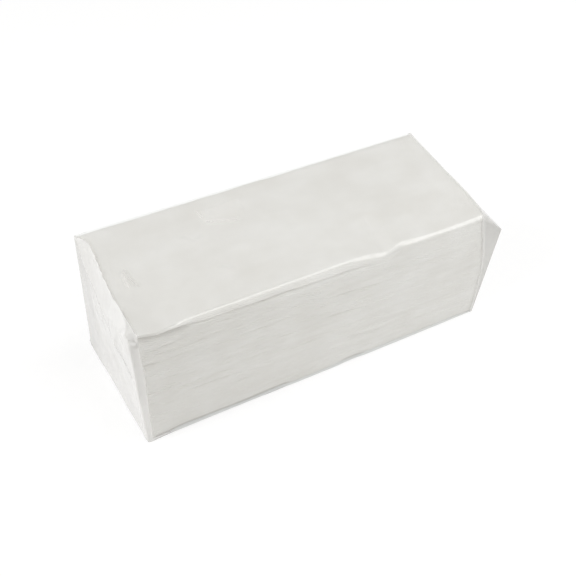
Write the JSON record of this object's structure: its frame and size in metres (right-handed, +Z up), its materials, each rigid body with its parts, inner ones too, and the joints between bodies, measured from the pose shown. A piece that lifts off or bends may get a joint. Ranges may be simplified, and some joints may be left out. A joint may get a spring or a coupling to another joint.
{
  "type": "pack of paper hand towels",
  "caption": "Block of interfolded paper hand towels in a clear film overwrap: towels for drying hands, ready to load into a dispenser.",
  "frame": {"origin": "on the table under the middle of the pack", "axes": "+X along the pack's length, +Z up, -Y is one long side; the pack's lengthwise film seam is underneath"},
  "size_m": [0.23, 0.088, 0.0869],
  "materials": {
    "tissue_paper": "soft matte tissue",
    "clear_film": "clear glossy film"
  },
  "bodies": {
    "root": {"towel_stack": "tissue_paper", "film_wrap": "clear_film"}
  },
  "joints": []
}
